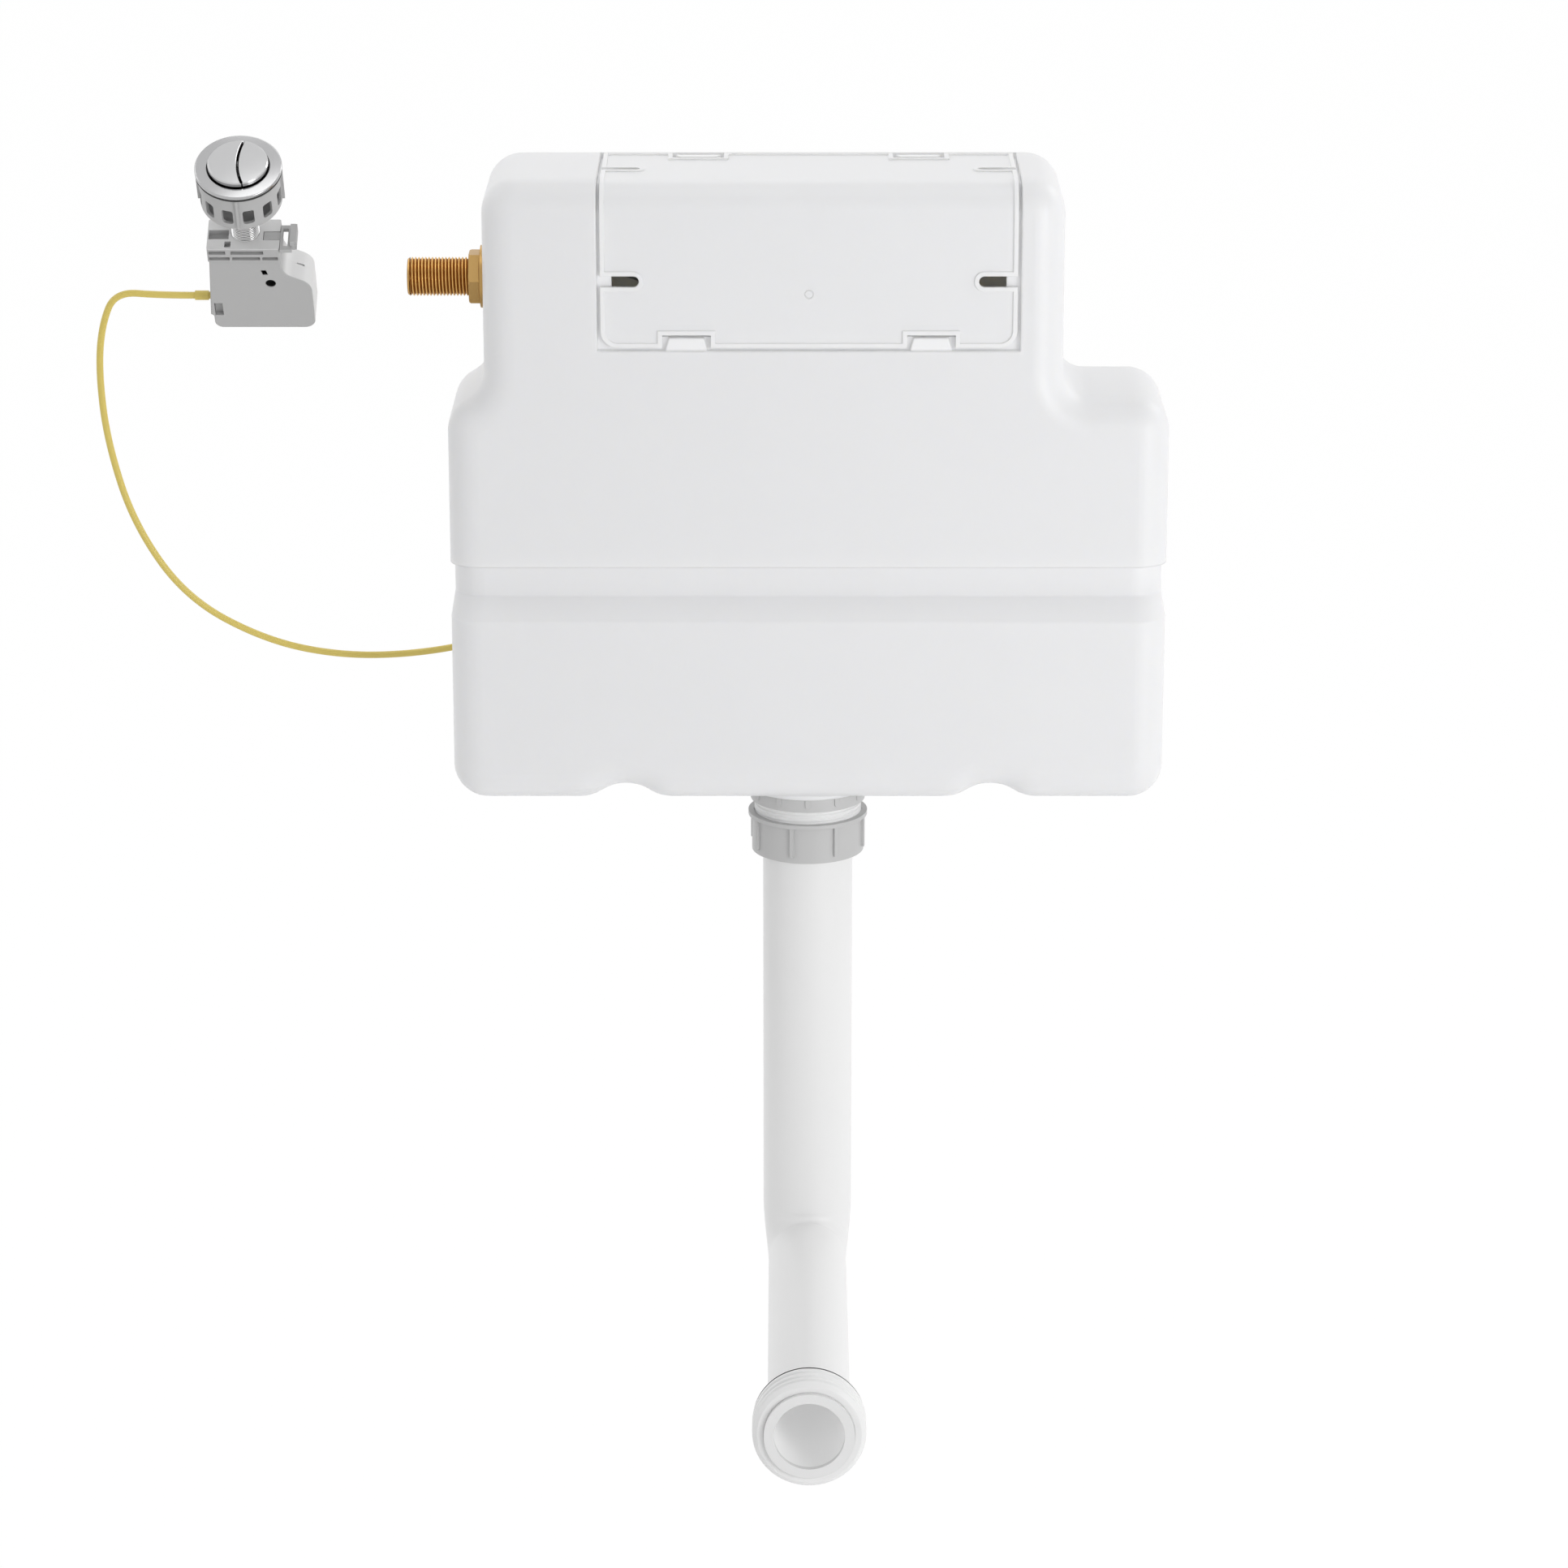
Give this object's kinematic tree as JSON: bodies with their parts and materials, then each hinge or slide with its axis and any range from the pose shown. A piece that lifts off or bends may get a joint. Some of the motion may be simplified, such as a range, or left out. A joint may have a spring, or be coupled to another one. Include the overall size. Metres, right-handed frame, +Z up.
{
  "type": "toilet cistern",
  "caption": "Compact concealed toilet cistern with lift-off access cover, brass side inlet, bent flush pipe and cable operated dual flush button.",
  "frame": {"origin": "middle of the two wall fixings, in the plane of the wall", "axes": "+X to the right seen from the front, +Y into the wall, +Z up"},
  "size_m": [0.5862, 0.3326, 0.6743],
  "materials": {
    "tank_white": "satin",
    "cover_white": "satin",
    "pipe_white": "smooth",
    "nut_grey": "satin",
    "tail_white": "satin",
    "case_grey": "fine grain",
    "inlet_brass": "machined",
    "nut_brass": "machined",
    "pin_black": "satin",
    "chrome": "polished",
    "rubber_black": "matt",
    "seal_grey": "matt",
    "sheath_yellow": "smooth",
    "steel_wire": "drawn",
    "valve_white": "smooth",
    "float_white": "foamed"
  },
  "bodies": {
    "tank": {"tank_shell": "tank_white", "inlet_shank": "inlet_brass", "inlet_nut": "nut_brass", "inlet_washer": "rubber_black", "fill_valve_body": "valve_white", "valve_diaphragm": "rubber_black", "diaphragm_cap": "valve_white", "silencer_tube": "valve_white", "float_pivot_pin": "steel_wire", "flush_valve_base": "tail_white", "base_washer": "rubber_black", "outlet_backnut": "nut_grey", "flush_tower": "valve_white", "tower_cap": "valve_white", "half_flush_float": "float_white", "cable_bracket": "valve_white", "cable_anchor": "valve_white", "inner_sheath": "sheath_yellow", "cable_elbow": "valve_white", "elbow_clip": "valve_white", "coupling_nut": "nut_grey", "pipe_seal_ring": "rubber_black", "flush_pipe": "pipe_white", "outlet_collar": "pipe_white", "outlet_seal": "seal_grey", "cable_sheath": "sheath_yellow", "cable_ferrule": "sheath_yellow", "button_ring": "chrome", "panel_gasket": "rubber_black", "button_cup": "case_grey", "full_return_spring": "steel_wire", "half_return_spring": "steel_wire", "threaded_tube": "chrome", "adapter_plate": "case_grey", "actuator_case_front": "case_grey", "actuator_case_back": "case_grey", "lever_pin": "pin_black"},
    "full_button": {"full_flush_button": "chrome", "full_push_rod": "valve_white"},
    "half_button": {"half_flush_button": "chrome", "half_push_rod": "valve_white"},
    "full_crank": {"full_lever": "valve_white"},
    "half_crank": {"half_lever": "valve_white"},
    "cable_wire": {"pull_wire": "steel_wire"},
    "valve": {"overflow_tube": "valve_white", "seal_holder": "valve_white", "valve_seal": "seal_grey", "lift_hook": "valve_white", "lift_wire": "steel_wire"},
    "float": {"float_arm": "valve_white", "float_screw": "valve_white", "float_block": "float_white"},
    "latch": {"latch_clip": "case_grey"},
    "cover": {"access_cover": "cover_white"}
  },
  "joints": [
    {"name": "full_press", "type": "slide", "parent": "tank", "child": "full_button", "axis": [0, 0.5736, -0.8192], "range_m": [0, 0.006], "stiffness_N_per_m": 150, "springref_m": -0.006},
    {"name": "half_press", "type": "slide", "parent": "tank", "child": "half_button", "axis": [0, 0.5736, -0.8192], "range_m": [0, 0.006], "stiffness_N_per_m": 150, "springref_m": -0.006},
    {"name": "full_crank_turn", "type": "hinge", "parent": "tank", "child": "full_crank", "pos_m": [-0.29163, -0.05566, -0.02509], "axis": [0, -0.8192, -0.5736], "range_deg": [0, 28]},
    {"name": "half_crank_turn", "type": "hinge", "parent": "tank", "child": "half_crank", "pos_m": [-0.29163, -0.05566, -0.02509], "axis": [0, -0.8192, -0.5736], "range_deg": [0, 28]},
    {"name": "wire_pull", "type": "slide", "parent": "tank", "child": "cable_wire", "axis": [1, 0, 0], "range_m": [0, 0.0108]},
    {"name": "valve_lift", "type": "slide", "parent": "tank", "child": "valve", "axis": [0, 0, 1], "range_m": [0, 0.012]},
    {"name": "float_swing", "type": "hinge", "parent": "tank", "child": "float", "pos_m": [-0.112, -0.062, -0.0212], "axis": [0, -1, 0], "range_deg": [0, 20]},
    {"name": "latch_slide", "type": "slide", "parent": "tank", "child": "latch", "axis": [1, 0, 0], "range_m": [0, 0.004]},
    {"name": "cover_off", "type": "slide", "parent": "tank", "child": "cover", "axis": [0, -1, 0], "range_m": [0, 0.1]}
  ],
  "couplings": [
    {"joint": "full_crank_turn", "follows": "full_press", "rad_per_m": 81.2},
    {"joint": "half_crank_turn", "follows": "half_press", "rad_per_m": 81.2},
    {"joint": "wire_pull", "follows": "full_press", "ratio": 1.78},
    {"joint": "valve_lift", "follows": "full_press", "ratio": 2}
  ]
}
